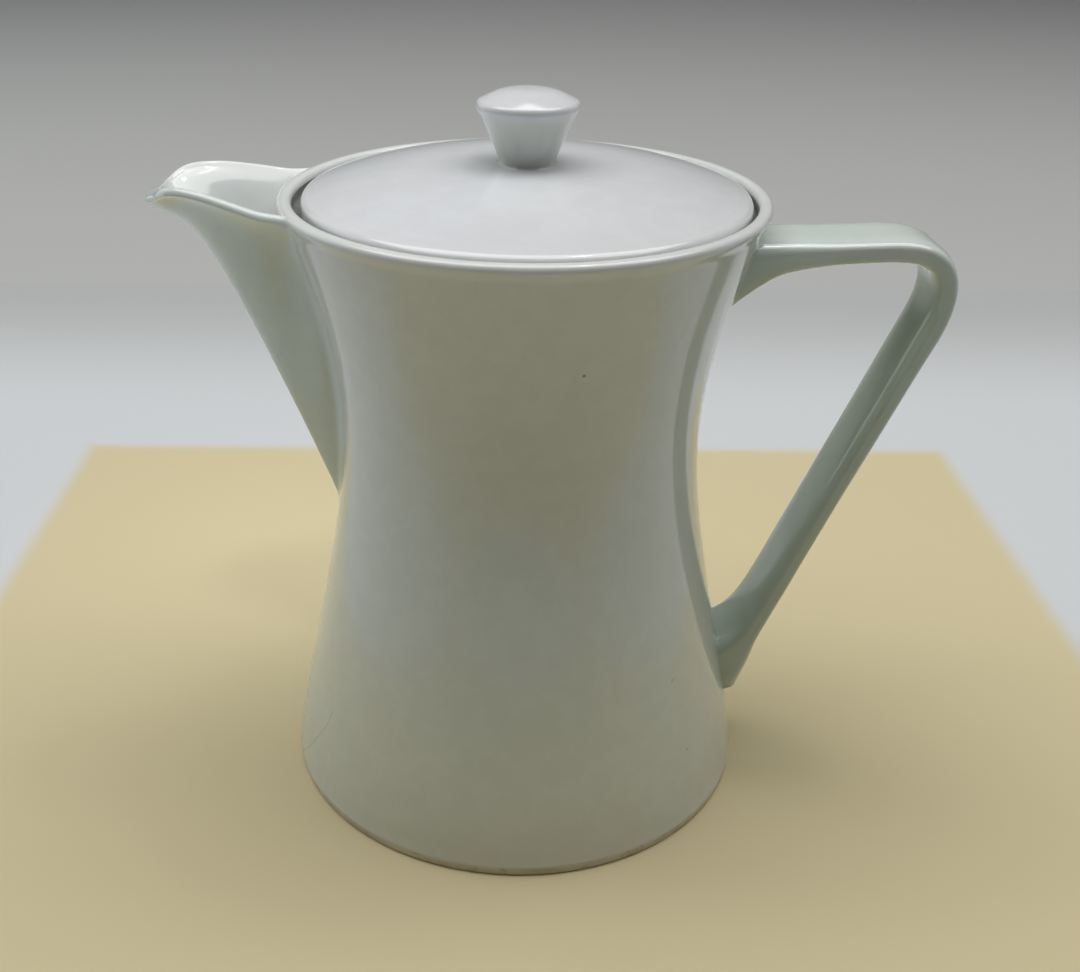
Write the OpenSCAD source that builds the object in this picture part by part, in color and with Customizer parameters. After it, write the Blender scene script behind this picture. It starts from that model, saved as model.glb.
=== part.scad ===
// Waisted porcelain coffee pot: thrown-shape body with a rolled rim, an open
// beak spout, a strap handle and a lift-off lid with a conical knob.
// Millimetres. The origin is on the body's axis, on the plane the foot stands on.
// The spout points along -X, the handle along +X, +Z is up.

/* [Body] */
// Height of the rim above the table
body_h = 166; // [160:1:172]
// Outside diameter at the foot
foot_d = 130.2; // [126:0.2:136]
// Outside diameter at the flank, where the lower flare is steepest
flank_d = 110.8; // [108:0.2:114]
// Height of the flank
flank_z = 50; // [44:1:56]
// Outside diameter at the waist
waist_d = 96.7; // [94:0.1:100]
// Height of the waist
waist_z = 102; // [98:1:108]
// Outside diameter at the rim
rim_d = 124.2; // [122.4:0.2:126]
// Flare of the wall at the foot, millimetres of radius per millimetre of height
foot_flare = 0.125; // [0.08:0.005:0.18]
// Flare of the wall at the flank
flank_flare = 0.195; // [0.16:0.005:0.23]
// Flare of the wall at the rim
rim_flare = 0.36; // [0.30:0.005:0.38]
// Wall thickness of the casting
wall = 4; // [3.4:0.1:4.6]
// Thickness of the floor
floor_t = 4.5; // [4:0.5:6]
// Depth of the recess inside the foot ring
foot_recess = 2.5; // [1.5:0.5:3]
// Width of the unglazed foot ring
foot_w = 5; // [4:0.5:7]

/* [Lid seat] */
// Radius of the recess that the lid drops into
recess_r = 58.4; // [57.9:0.1:58.8]
// Depth of that recess below the rim
recess_depth = 4.2; // [3.8:0.2:5]
// Inside radius of the ledge that carries the lid
ledge_r = 51.3; // [50.9:0.1:52]
// Thickness of the ledge
ledge_t = 3.4; // [3:0.2:4.5]

/* [Spout] */
// Horizontal reach of the spout's lip from the pot's axis
spout_reach = 95.6; // [93.6:0.2:97.6]
// Half width of the spout's mouth where it meets the rim
spout_half = 24.4; // [23:0.1:25]
// Wall thickness of the spout
spout_wall = 3.2; // [2.8:0.1:3.6]
// Width of the pouring hole through the body wall
pour_w = 15; // [12:1:18]
// Height of the lowest point of the pouring hole
pour_z0 = 121; // [118:1:125]
// Height of the highest point of the pouring hole
pour_z1 = 152; // [148:1:154]

/* [Handle] */
// Width of the handle strap
strap_w = 21.4; // [18:0.2:24]
// Thickness of the handle strap along the grip
strap_t = 6.6; // [5.8:0.1:8]
// Squareness of the strap's section, 2 is an ellipse
strap_n = 3.2; // [2:0.1:4]

/* [Lid] */
// Radius of the lid's edge
lid_r = 56.8; // [56:0.1:57.2]
// Height of the dome's edge above the body's rim, below it where negative
lid_proud = -0.3; // [-0.4:0.1:1]
// Rise of the dome from its edge to its middle
lid_rise = 7.4; // [6:0.2:8]
// Wall thickness of the dome
lid_t = 3.8; // [3.4:0.1:4.4]
// Outside radius of the locating flange under the lid
flange_r = 49.8; // [49.2:0.1:50]
// Wall thickness of the flange
flange_t = 3; // [2.5:0.1:3.5]
// Length of the flange below the seat
flange_h = 13; // [9:0.5:15]
// How far the lid lies from the middle of its seat, towards the handle
lid_play = 0.5; // [0:0.1:0.6]

/* [Knob] */
// Radius of the knob's upper edge
knob_r = 13.1; // [12:0.1:14]
// Radius of the knob's neck at the lid
knob_neck = 6.5; // [6:0.1:7.4]
// Height of the knob's cone
knob_h = 15; // [13:0.5:17]
// Rise of the knob's domed top
knob_rise = 3.4; // [2.4:0.2:4.4]

/* [Hidden] */
$fn = 96;
glaze = [0.84, 0.87, 0.84];
glaze_mint = [0.78, 0.85, 0.81];
glaze_white = [0.90, 0.91, 0.91];

foot_r = foot_d / 2;
rim_r = rim_d / 2;
seat_z = body_h - recess_depth;
lid_z = body_h + lid_proud;
lid_top = lid_z + lid_rise;
knob_flat = 8;

// ---- curves -------------------------------------------------------------

// Cubic between two heights with a given value and slope at each end
function herm(z, z0, p0, m0, z1, p1, m1) =
    let (d = z1 - z0, u = (z - z0) / d, u2 = u * u, u3 = u2 * u)
    (2*u3 - 3*u2 + 1) * p0 + (u3 - 2*u2 + u) * d * m0
    + (3*u2 - 2*u3) * p1 + (u3 - u2) * d * m1;

// Outside radius of the body at a height
function body_r(z) =
    z < flank_z ? herm(z, 0, foot_r, -foot_flare, flank_z, flank_d/2, -flank_flare)
    : z < waist_z ? herm(z, flank_z, flank_d/2, -flank_flare, waist_z, waist_d/2, 0)
    : herm(z, waist_z, waist_d/2, 0, body_h, rim_r, rim_flare);

// Catmull-Rom curve through a list of points, u counts points
function cat(p, u) =
    let (n = len(p), i = min(n - 2, max(0, floor(u))), t = u - i,
         a = p[max(0, i - 1)], b = p[i], c = p[i + 1], d = p[min(n - 1, i + 2)])
    0.5 * (2*b + (c - a)*t + (2*a - 5*b + 4*c - d)*t*t + (3*b - a - 3*c + d)*t*t*t);

// Straight-line look-up of y in a list of [x, y], x rising
function look(t, x, i = 0) =
    i >= len(t) - 1 ? t[len(t) - 1][1]
    : x <= t[0][0] ? t[0][1]
    : x <= t[i + 1][0] ? t[i][1] + (t[i + 1][1] - t[i][1]) * (x - t[i][0]) / (t[i + 1][0] - t[i][0])
    : look(t, x, i + 1);

// Smooth look-up of y in a list of evenly counted [x, y], x rising
function smooth_look(t, x, i = 0) =
    i >= len(t) - 2 || x <= t[i + 1][0]
    ? let (j = min(i, len(t) - 2), h = t[j + 1][0] - t[j][0],
           u = max(0, min(1, (x - t[j][0]) / h)),
           m0 = j == 0 ? (t[1][1] - t[0][1]) / (t[1][0] - t[0][0])
                       : (t[j + 1][1] - t[j - 1][1]) / (t[j + 1][0] - t[j - 1][0]),
           m1 = j + 2 >= len(t) ? (t[j + 1][1] - t[j][1]) / h
                                : (t[j + 2][1] - t[j][1]) / (t[j + 2][0] - t[j][0]))
      (2*u*u*u - 3*u*u + 1) * t[j][1] + (u*u*u - 2*u*u + u) * h * m0
      + (3*u*u - 2*u*u*u) * t[j + 1][1] + (u*u*u - u*u) * h * m1
    : smooth_look(t, x, i + 1);

// Root of a curve's distance from the body between a share where it is inside and one where it is outside
function bisect(inside, outside, f, n = 22) =
    n == 0 ? (inside + outside) / 2
    : let (m = (inside + outside) / 2) f(m) < 0 ? bisect(m, outside, f, n - 1) : bisect(inside, m, f, n - 1);

// Triangles between rings of n points each, the rings running outwards
function band(m, n) = [for (i = [0 : m - 2]) for (j = [0 : n - 1]) for (k = [0, 1])
    let (a = i*n + j, b = i*n + (j + 1) % n, c = (i + 1)*n + (j + 1) % n, d = (i + 1)*n + j)
    k == 0 ? [a, b, c] : [a, c, d]];

function flip(faces) = [for (f = faces) [f[2], f[1], f[0]]];

// ---- body ---------------------------------------------------------------

lip_r = (rim_r - recess_r) / 2;
body_steps = 52;
floor_top = floor_t + foot_recess;
floor_fillet = 9;
// Radius of the flat floor, inside the rounding to the wall
floor_r = body_r(floor_top + floor_fillet) - wall - floor_fillet;

// Outside of the body from the foot to the start of the rolled lip
outer_side = concat(
    [[foot_r - 1.2, 0], [foot_r - 0.5, 0.35], [foot_r - 0.22, 1.0]],
    [for (i = [0 : body_steps]) let (z = 2 + (body_h - lip_r - 2) * i / body_steps)
        [body_r(z) - (z < 4 ? 0.02 * (4 - z) : 0), z]]);

// Rolled lip, from outside to inside
lip_arc = [for (a = [15 : 15 : 180])
    [recess_r + lip_r + lip_r * cos(a), body_h - lip_r + lip_r * sin(a)]];

// Outside radius of the body at a height, rolled lip included
lip_c = recess_r + lip_r;
side_top = body_h - lip_r;
function wall_r(z) =
    z < side_top ? body_r(z)
    : z < lip_arc[0][1] ? body_r(side_top) + (lip_arc[0][0] - body_r(side_top)) * (z - side_top) / (lip_arc[0][1] - side_top)
    : lip_c + sqrt(max(0, lip_r*lip_r - pow(z - side_top, 2)));

// Signed distance of a point from the body's outside, measured level
function off_body(p) = sqrt(p[0]*p[0] + p[1]*p[1]) - wall_r(p[2]);

module pot_body() {
    inner_top = seat_z - ledge_t - 7;
    inner_side = [for (i = [0 : 36]) let (z = inner_top + (floor_top + floor_fillet - inner_top) * i / 36)
        [body_r(z) - wall, z]];
    floor_arc = [for (a = [15 : 15 : 90])
        [floor_r + floor_fillet * cos(a), floor_top + floor_fillet * (1 - sin(a))]];
    color(glaze) difference() {
        rotate_extrude($fn = 128) polygon(concat(
            [[foot_r - foot_w - 1.2, 0]], outer_side, lip_arc,
            [[recess_r - 0.25, seat_z + 0.5], [recess_r - 0.75, seat_z],
             [ledge_r + 0.4, seat_z], [ledge_r, seat_z - 0.4], [ledge_r, seat_z - ledge_t + 0.8],
             [ledge_r + 0.5, seat_z - ledge_t - 0.4]],
            inner_side, floor_arc, [[floor_r, foot_recess]],
            [[foot_r - foot_w - 6, foot_recess], [foot_r - foot_w - 2.6, foot_recess - 0.6],
             [foot_r - foot_w - 1.6, 0.5]]));
        // pouring hole behind the spout
        for (z = [pour_z0 + pour_w/2, pour_z1 - pour_w/2])
            translate([0, 0, z]) rotate([0, -90, 0]) cylinder(d = pour_w, h = 80, $fn = 48);
        translate([-80, -pour_w/2, pour_z0 + pour_w/2])
            cube([80, pour_w, pour_z1 - pour_z0 - pour_w]);
    }
}

// Flat floor inside the foot
module pot_floor() {
    color(glaze) translate([0, 0, foot_recess]) cylinder(r = floor_r, h = floor_t, $fn = 128);
}

// ---- spout --------------------------------------------------------------

// Keel of the spout: height against reach from the axis
keel = [[40, 49], [47, 69.5], [50.4, 79.4], [54.5, 90.2], [59.2, 102.4], [63.8, 113.6], [67.9, 123.5],
        [71.3, 131.4], [74.9, 139.3], [78.7, 147.3], [82.3, 153.5], [85.8, 157.5], [88.6, 159.2],
        [91.6, 160.3], [94, 161.0], [95.6, 162.4]];
// Height of the lip against reach
lip_z = [[40, 165.6], [56, 165.6], [62.7, 165.9], [69.3, 167.3], [75.9, 168.7], [80, 169.3], [84, 169.5],
         [87, 169.2], [89, 168.5], [90.5, 167.5], [92, 166.25], [93.4, 165.5], [94.6, 164.8], [95.6, 163.6]];
// Half width outside against reach, as a share of the half width at the rim
lip_b = [[40, 1.30], [52, 1.20], [56, 1.07], [59.4, 1.0], [66, 0.934], [72.6, 0.828], [78, 0.735],
         [82, 0.657], [86, 0.58], [88, 0.528], [90, 0.448], [91.6, 0.345], [93.2, 0.24], [94.4, 0.16],
         [95.2, 0.095], [95.6, 0.03]];
// Wall thickness at the lip against reach, as a share of the spout's wall: the lip closes round the end of the channel
lip_w = [[40, 1], [86, 1], [88, 1.1], [90, 1.5], [91, 2.3], [92, 3.4], [96, 4]];
// Thickness of the channel's floor against reach, as a share of the spout's wall
floor_k = [[40, 1.94], [50, 1.94], [86, 1.25], [88.5, 1.35], [90.5, 1.6], [92, 1.85], [96, 2]];
// Roundness of the keel against reach, small is a sharp V
keel_round = [[40, 0.05], [54, 0.07], [65, 0.12], [75, 0.24], [83, 0.5], [89, 0.9], [96, 1.2]];
// Share of the half width that flares out in the last part below the lip
lip_flare = [[40, 0.22], [60, 0.20], [72, 0.14], [84, 0.10], [96, 0.05]];

k_reach = spout_reach / 95.6;
function s_keel(x) = smooth_look(keel, x);
function s_lip(x) = smooth_look(lip_z, x);
function s_half(x) = spout_half * smooth_look(lip_b, x);

// Half width at a share t of the height between keel and lip
function s_share(x, t) =
    let (c = look(keel_round, x), q = look(lip_flare, x))
    (1 - q) * sqrt(((t + c)*(t + c) - c*c) / ((1 + c)*(1 + c) - c*c)) + q * pow(t, 9);

// One line along the spout, as points against reach. Line j runs round the
// section: outside from the near lip past the keel to the far lip, over the
// rolled edge, inside and back over the other edge.
spout_n = 14;
roll_n = 5;
spout_lines = 2 * (2 * spout_n + 1) + 2 * roll_n;
function s_point(j, x) =
    let (zk = s_keel(x), zl = s_lip(x), b = s_half(x),
         w = min(spout_wall * smooth_look(lip_w, x), 0.97 * b), hr = min(spout_wall / 2, w / 2, (zl - zk) / 2.2),
         zi = min(zk + spout_wall * smooth_look(floor_k, x), zl - 0.25), bi = b - w,
         m = 2 * spout_n + 1, part = j < m ? 0 : j < m + roll_n ? 1 : j < 2*m + roll_n ? 2 : 3,
         i = part == 0 ? j - spout_n : part == 2 ? spout_n - (j - m - roll_n) : 0,
         t = pow(abs(i) / spout_n, 1.5), s = i < 0 ? -1 : 1,
         a = part == 1 ? 180 * (j - m + 1) / (roll_n + 1) : 180 * (spout_lines - j) / (roll_n + 1),
         ry = b - w/2 + w/2 * cos(a), rz = zl - hr + hr * sin(a))
    part == 0 ? [-x * k_reach, s * b * s_share(x, t), zk + (zl - hr - zk) * t]
    : part == 1 ? [-x * k_reach, ry, rz]
    : part == 2 ? [-x * k_reach, s * bi * s_share(x, t), zi + (zl - min(hr, (zl - zi)/2) - zi) * t]
    : [-x * k_reach, -ry, rz];

// Shares of the way from the body to the tip
spout_s = [0, 0.1, 0.2, 0.3, 0.4, 0.5, 0.59, 0.67, 0.74, 0.8, 0.85, 0.89, 0.92, 0.945, 0.965, 0.98, 0.991, 1];

// The lines start on the body's outside and end at the tip, so the root's
// face lies on the body
module spout() {
    n = spout_lines;
    m = 2 * spout_n + 1;
    root = [for (j = [0 : n - 1]) bisect(42, 74, function(x) off_body(s_point(j, x)))];
    pts = [for (s = spout_s) for (j = [0 : n - 1]) s_point(j, root[j] + (95.6 - root[j]) * s)];
    last = (len(spout_s) - 1) * n;
    // root's face: strips between each outside line and the inside line behind it, then the rolled edges
    root_face = concat(
        [for (i = [0 : m - 2]) for (k = [0, 1]) let (a = i, b = i + 1, c = 2*m + roll_n - 2 - i, d = c + 1)
            k == 0 ? [a, b, c] : [a, c, d]],
        [for (i = [0 : roll_n - 1]) [m - 1, m + i, m + i + 1]],
        [for (i = [0 : roll_n - 1]) let (r = 2*m + roll_n) [r - 1, r + i, (r + i + 1) % n]]);
    color(glaze_mint) polyhedron(pts, concat(band(len(spout_s), n),
        flip(root_face),
        [[for (j = [0 : n - 1]) last + j]]), convexity = 6);
}

// ---- handle -------------------------------------------------------------

// Centre line of the strap: reach, height, half thickness and extra half width
grip = strap_t / 2;
strap = [[49, 146.9, 9.3, 1.6], [54, 148.6, 7.6, 1.0], [59, 150.1, 6.2, 0.5], [64, 151.2, 5.0, 0.1],
         [70, 152.1, grip + 0.9, 0], [78, 152.8, grip + 0.2, 0], [87, 153.3, grip, 0], [95, 153.5, grip, 0],
         [101.1, 152.6, grip, 0], [105.5, 149.7, grip, 0], [107.6, 145.1, grip, 0], [107.7, 139.7, grip, 0],
         [106.0, 133.0, grip, 0], [101.3, 121.8, grip - 0.15, 0], [94.4, 105.2, grip - 0.3, 0], [86.2, 85.8, grip - 0.4, 0],
         [78.9, 68.2, grip - 0.4, 0], [73.7, 55.5, grip - 0.3, 0], [69.5, 45.8, grip - 0.1, 0],
         [66.0, 38.9, grip + 0.8, 0.2], [62.3, 33.3, grip + 3.5, 0.7], [56.6, 26.6, grip + 7.2, 1.4]];
strap_m = 32;

function sgn(v) = v < 0 ? -1 : 1;
// Point j of the strap's section at a place u along it
function strap_point(j, u) =
    let (p = cat(strap, u), q0 = cat(strap, max(0, u - 0.05)), q1 = cat(strap, min(len(strap) - 1.001, u + 0.05)),
         tx = q1[0] - q0[0], tz = q1[1] - q0[1], l = sqrt(tx*tx + tz*tz),
         nx = -tz / l, nz = tx / l, w = strap_w / 2 + p[3], e = 2 / strap_n,
         a = 360 * j / strap_m, c = cos(a), s = sin(a),
         y = w * sgn(c) * pow(abs(c), e), d = p[2] * sgn(s) * pow(abs(s), e))
    [p[0] + nx * d, y, p[1] + nz * d];

// Places along the strap, counted in its points: u_a and u_b are level with
// its section, and nearer the body they are drawn out to end on the body
u_a = 6;
u_b = 16;
strap_out = 7;
strap_mid = 34;
strap_cols = 8;

// Points of an end's face on the body, row k up the section and column c across it
function end_mid(ring) = [for (k = [1 : strap_m/2 - 1]) for (c = [1 : strap_cols - 1])
    let (p = ring[(3*strap_m/4 + k) % strap_m], q = ring[3*strap_m/4 - k],
         y = p[1] + (q[1] - p[1]) * c / strap_cols, z = p[2] + (q[2] - p[2]) * c / strap_cols)
    [sqrt(wall_r(z)*wall_r(z) - y*y), y, z]];

function end_face(ring0, mid0) =
    let (h = strap_m / 2,
         at = function(k, c) k == 0 || k == h || c == 0 ? ring0 + (3*strap_m/4 + k) % strap_m
            : c == strap_cols ? ring0 + 3*strap_m/4 - k : mid0 + (k - 1) * (strap_cols - 1) + c - 1)
    [for (k = [0 : h - 1]) for (c = [0 : strap_cols - 1]) for (t = [0, 1])
        let (f = t == 0 ? [at(k, c), at(k + 1, c), at(k + 1, c + 1)] : [at(k, c), at(k + 1, c + 1), at(k, c + 1)])
        if (f[0] != f[1] && f[1] != f[2] && f[0] != f[2]) f];

module handle() {
    m = strap_m;
    end = len(strap) - 1.001;
    top = [for (j = [0 : m - 1]) bisect(0, u_a, function(u) off_body(strap_point(j, u)))];
    low = [for (j = [0 : m - 1]) bisect(end, u_b, function(u) off_body(strap_point(j, u)))];
    rings = concat(
        [for (i = [0 : strap_out - 1]) [for (j = [0 : m - 1]) strap_point(j, top[j] + (u_a - top[j]) * i / strap_out)]],
        [for (i = [0 : strap_mid]) [for (j = [0 : m - 1]) strap_point(j, u_a + (u_b - u_a) * i / strap_mid)]],
        [for (i = [1 : strap_out + 2]) [for (j = [0 : m - 1]) strap_point(j, u_b + (low[j] - u_b) * i / (strap_out + 2))]]);
    k = len(rings);
    pts = concat([for (r = rings) for (p = r) p], end_mid(rings[0]), end_mid(rings[k - 1]));
    mids = (m/2 - 1) * (strap_cols - 1);
    color(glaze_mint) polyhedron(pts, concat(flip(band(k, m)),
        end_face(0, k*m), flip(end_face((k - 1)*m, k*m + mids))), convexity = 6);
}

// ---- lid ----------------------------------------------------------------

function dome_z(r) = r <= knob_flat ? lid_top : lid_top - lid_rise * pow((r - knob_flat) / (lid_r - knob_flat), 2.55);

module on_seat() { translate([lid_play, 0, 0]) children(); }

module lid_dome() {
    ri = flange_r - flange_t;
    er = 1.7;
    top = [for (i = [0 : 22]) let (r = knob_flat + (lid_r - er - knob_flat) * i / 22) [r, dome_z(r)]];
    ez = dome_z(lid_r - er);
    under = [for (i = [0 : 14]) let (r = (ri - 2.5) * i / 14) [r, dome_z(r) - lid_t]];
    color(glaze_white) on_seat() rotate_extrude($fn = 128) polygon(concat(
        under,
        [[ri - 0.8, max(seat_z + 0.6, dome_z(ri) - lid_t - 1.0)],
         [ri, max(seat_z + 0.3, dome_z(ri) - lid_t - 2.6)], [ri, seat_z],
         [lid_r - 1.1, seat_z], [lid_r - 0.3, seat_z + 0.35], [lid_r, seat_z + 1.1],
         [lid_r, ez - er * 1.05], [lid_r - 0.15, ez - er * 0.62], [lid_r - 0.55, ez - er * 0.28],
         [lid_r - 1.1, ez - er * 0.08]],
        [for (i = [22 : -1 : 0]) top[i]],
        [[0, lid_top]]));
}

module lid_flange() {
    ri = flange_r - flange_t;
    zb = seat_z - flange_h;
    color(glaze_white) on_seat() rotate_extrude($fn = 128) polygon(concat(
        [[ri, seat_z]],
        [for (a = [180 : 20 : 360]) [ri + flange_t/2 + flange_t/2 * cos(a), zb + flange_t/2 + flange_t/2 * sin(a)]],
        [[flange_r, seat_z]]));
}

module lid_knob() {
    zt = lid_top + knob_h;
    cone = [for (i = [0 : 10]) let (t = i / 10)
        [knob_neck + (knob_r - 0.35 - knob_neck) * pow(t, 0.97) + 0.7 * pow(1 - t, 12), lid_top + (zt - 0.7 - lid_top) * t]];
    head = [for (i = [0 : 16]) let (r = (knob_r - 0.5) * (1 - i / 16))
        [r, zt + 0.25 + (knob_rise - 0.25) * (1 - pow(r / (knob_r - 0.5), 2.1))]];
    color(glaze_white) on_seat() rotate_extrude($fn = 96)
        polygon(concat([[0, lid_top]], cone, [[knob_r - 0.08, zt - 0.35], [knob_r, zt - 0.1], [knob_r - 0.12, zt + 0.12]], head));
}

pot_body();
pot_floor();
spout();
handle();
lid_dome();
lid_flange();
lid_knob();
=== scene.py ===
"""Looks of the porcelain coffee pot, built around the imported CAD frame."""
import math

import bmesh
import bpy
import numpy as np
from mathutils import Matrix, Vector


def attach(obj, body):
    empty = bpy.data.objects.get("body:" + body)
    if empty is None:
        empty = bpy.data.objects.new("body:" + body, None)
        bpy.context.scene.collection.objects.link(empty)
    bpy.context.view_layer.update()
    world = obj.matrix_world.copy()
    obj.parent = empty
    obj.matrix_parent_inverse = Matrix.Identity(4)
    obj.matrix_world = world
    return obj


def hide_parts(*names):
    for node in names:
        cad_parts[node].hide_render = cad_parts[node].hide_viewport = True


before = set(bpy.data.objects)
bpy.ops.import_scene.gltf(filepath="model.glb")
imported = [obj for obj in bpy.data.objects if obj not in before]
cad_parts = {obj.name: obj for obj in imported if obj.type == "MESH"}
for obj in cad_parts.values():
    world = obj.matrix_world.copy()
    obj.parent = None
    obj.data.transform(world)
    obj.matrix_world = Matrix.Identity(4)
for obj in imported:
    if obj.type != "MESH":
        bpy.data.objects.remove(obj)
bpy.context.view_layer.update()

MM = 0.001

# ======================================================================
# Curves shared with the CAD part (millimetres)
# ======================================================================

FOOT_R, FLANK_R, WAIST_R, RIM_R = 65.1, 55.4, 48.35, 62.1
LIP_R, LIP_C, SIDE_TOP, BODY_H = 1.85, 60.25, 164.15, 166.0
SEAT_Z = 161.8
WALL = 4.0


def herm(z, z0, p0, m0, z1, p1, m1):
    d = z1 - z0
    u = (z - z0) / d
    return ((2*u**3 - 3*u**2 + 1) * p0 + (u**3 - 2*u**2 + u) * d * m0
            + (3*u**2 - 2*u**3) * p1 + (u**3 - u**2) * d * m1)


def body_raw(z):
    z = np.asarray(z, float)
    low = herm(z, 0, FOOT_R, -0.125, 50, FLANK_R, -0.195)
    mid = herm(z, 50, FLANK_R, -0.195, 102, WAIST_R, 0)
    top = herm(z, 102, WAIST_R, 0, 166, RIM_R, 0.36)
    r = np.where(z < 50, low, np.where(z < 102, mid, top))
    r = np.where(z < 0, FOOT_R - 0.125 * z, r)
    return np.where(z > 166, RIM_R + 0.36 * (z - 166), r)


def gauss(y, sigma_steps):
    n = int(math.ceil(4 * sigma_steps))
    k = np.exp(-0.5 * (np.arange(-n, n + 1) / sigma_steps) ** 2)
    k /= k.sum()
    pad = np.concatenate([2*y[0] - y[n:0:-1], y, 2*y[-1] - y[-2:-n-2:-1]])
    return np.convolve(pad, k, mode="valid")


def soften(y, sigma_steps):
    g = gauss(y, sigma_steps)
    return 2*g - gauss(g, sigma_steps)


TZ = np.arange(-30.0, 200.01, 0.25)
TR = soften(body_raw(TZ), 20)
TRI = gauss(np.minimum(body_raw(TZ) - WALL, 53.15 - 0.257 * (TZ - 151.4)), 8)


def body_r(z):
    return np.interp(z, TZ, TR)


def inner_r(z):
    return np.interp(z, TZ, TRI)


def bezier(p0, p1, p2, p3, n):
    t = np.linspace(0, 1, n + 1)[:, None]
    p0, p1, p2, p3 = (np.asarray(p, float) for p in (p0, p1, p2, p3))
    return (1-t)**3*p0 + 3*(1-t)**2*t*p1 + 3*(1-t)*t**2*p2 + t**3*p3


def rounded(points, steps=6):
    """A path of straight lines through points (r, z, radius) with rounded corners."""
    out = []
    n = len(points)
    for i, (x, z, rad) in enumerate(points):
        p = np.array([x, z], float)
        if i == 0 or i == n - 1 or rad <= 0:
            out.append(p)
            continue
        a = np.array(points[i-1][:2], float) - p
        b = np.array(points[i+1][:2], float) - p
        la, lb = np.linalg.norm(a), np.linalg.norm(b)
        a, b = a / la, b / lb
        half = math.acos(max(-1, min(1, float(a @ b)))) / 2
        d = min(rad / math.tan(half), 0.48 * la, 0.48 * lb)
        rr = d * math.tan(half)
        c = p + (a + b) / np.linalg.norm(a + b) * rr / math.sin(half)
        v0, v1 = p + a*d - c, p + b*d - c
        t0 = math.atan2(v0[1], v0[0])
        dt = (math.atan2(v1[1], v1[0]) - t0 + math.pi) % (2*math.pi) - math.pi
        for k in range(steps + 1):
            t = t0 + dt * k / steps
            out.append(c + rr * np.array([math.cos(t), math.sin(t)]))
    return np.array(out)


# outer profile from the foot over the rim, as one path with its arc length
def lip_circle(a0, a1, n):
    a = np.radians(np.linspace(a0, a1, n + 1))
    e = 2 / 2.5
    return np.stack([LIP_C + LIP_R*np.sign(np.cos(a))*np.abs(np.cos(a))**e,
                     SIDE_TOP + LIP_R*np.clip(np.sin(a), 0, 1)**e], 1)


_zs = np.arange(3.2, 161.41, 0.2)
_p3, _q3 = lip_circle(18, 19, 1)
_t3 = (_q3 - _p3) / np.hypot(*(_q3 - _p3))
_p0 = np.array([float(body_r(161.4)), 161.4])
BEAD = bezier(_p0, _p0 + 1.55*np.array([0.34, 0.94]),
              _p3 - 0.95*_t3, _p3, 12)
PATH = np.concatenate([np.stack([body_r(_zs), _zs], 1), BEAD[1:], lip_circle(18, 180, 54)[1:],
                       [[58.4, 163.0]]])
PATH_S = np.concatenate([[0], np.cumsum(np.hypot(*np.diff(PATH, axis=0).T))])
_top = int(np.argmax(PATH[:, 1]))


def wall_r(z):
    """Outside radius at a height, rim bead included."""
    return np.interp(z, PATH[:_top+1, 1], PATH[:_top+1, 0])


def s_of_z(z):
    return np.interp(z, PATH[:_top+1, 1], PATH_S[:_top+1])


def on_path(s):
    """Point and outward normal of the outer profile at an arc length."""
    r, z = np.interp(s, PATH_S, PATH[:, 0]), np.interp(s, PATH_S, PATH[:, 1])
    h = 0.25
    dr = np.interp(s + h, PATH_S, PATH[:, 0]) - np.interp(s - h, PATH_S, PATH[:, 0])
    dz = np.interp(s + h, PATH_S, PATH[:, 1]) - np.interp(s - h, PATH_S, PATH[:, 1])
    l = np.hypot(dr, dz)
    return r, z, dz / l, -dr / l


def polar(r, phi, z):
    r, phi, z = np.broadcast_arrays(r, phi, z)
    return np.stack([r*np.cos(phi), r*np.sin(phi), z], -1)


# ======================================================================
# Mesh helpers
# ======================================================================


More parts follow.
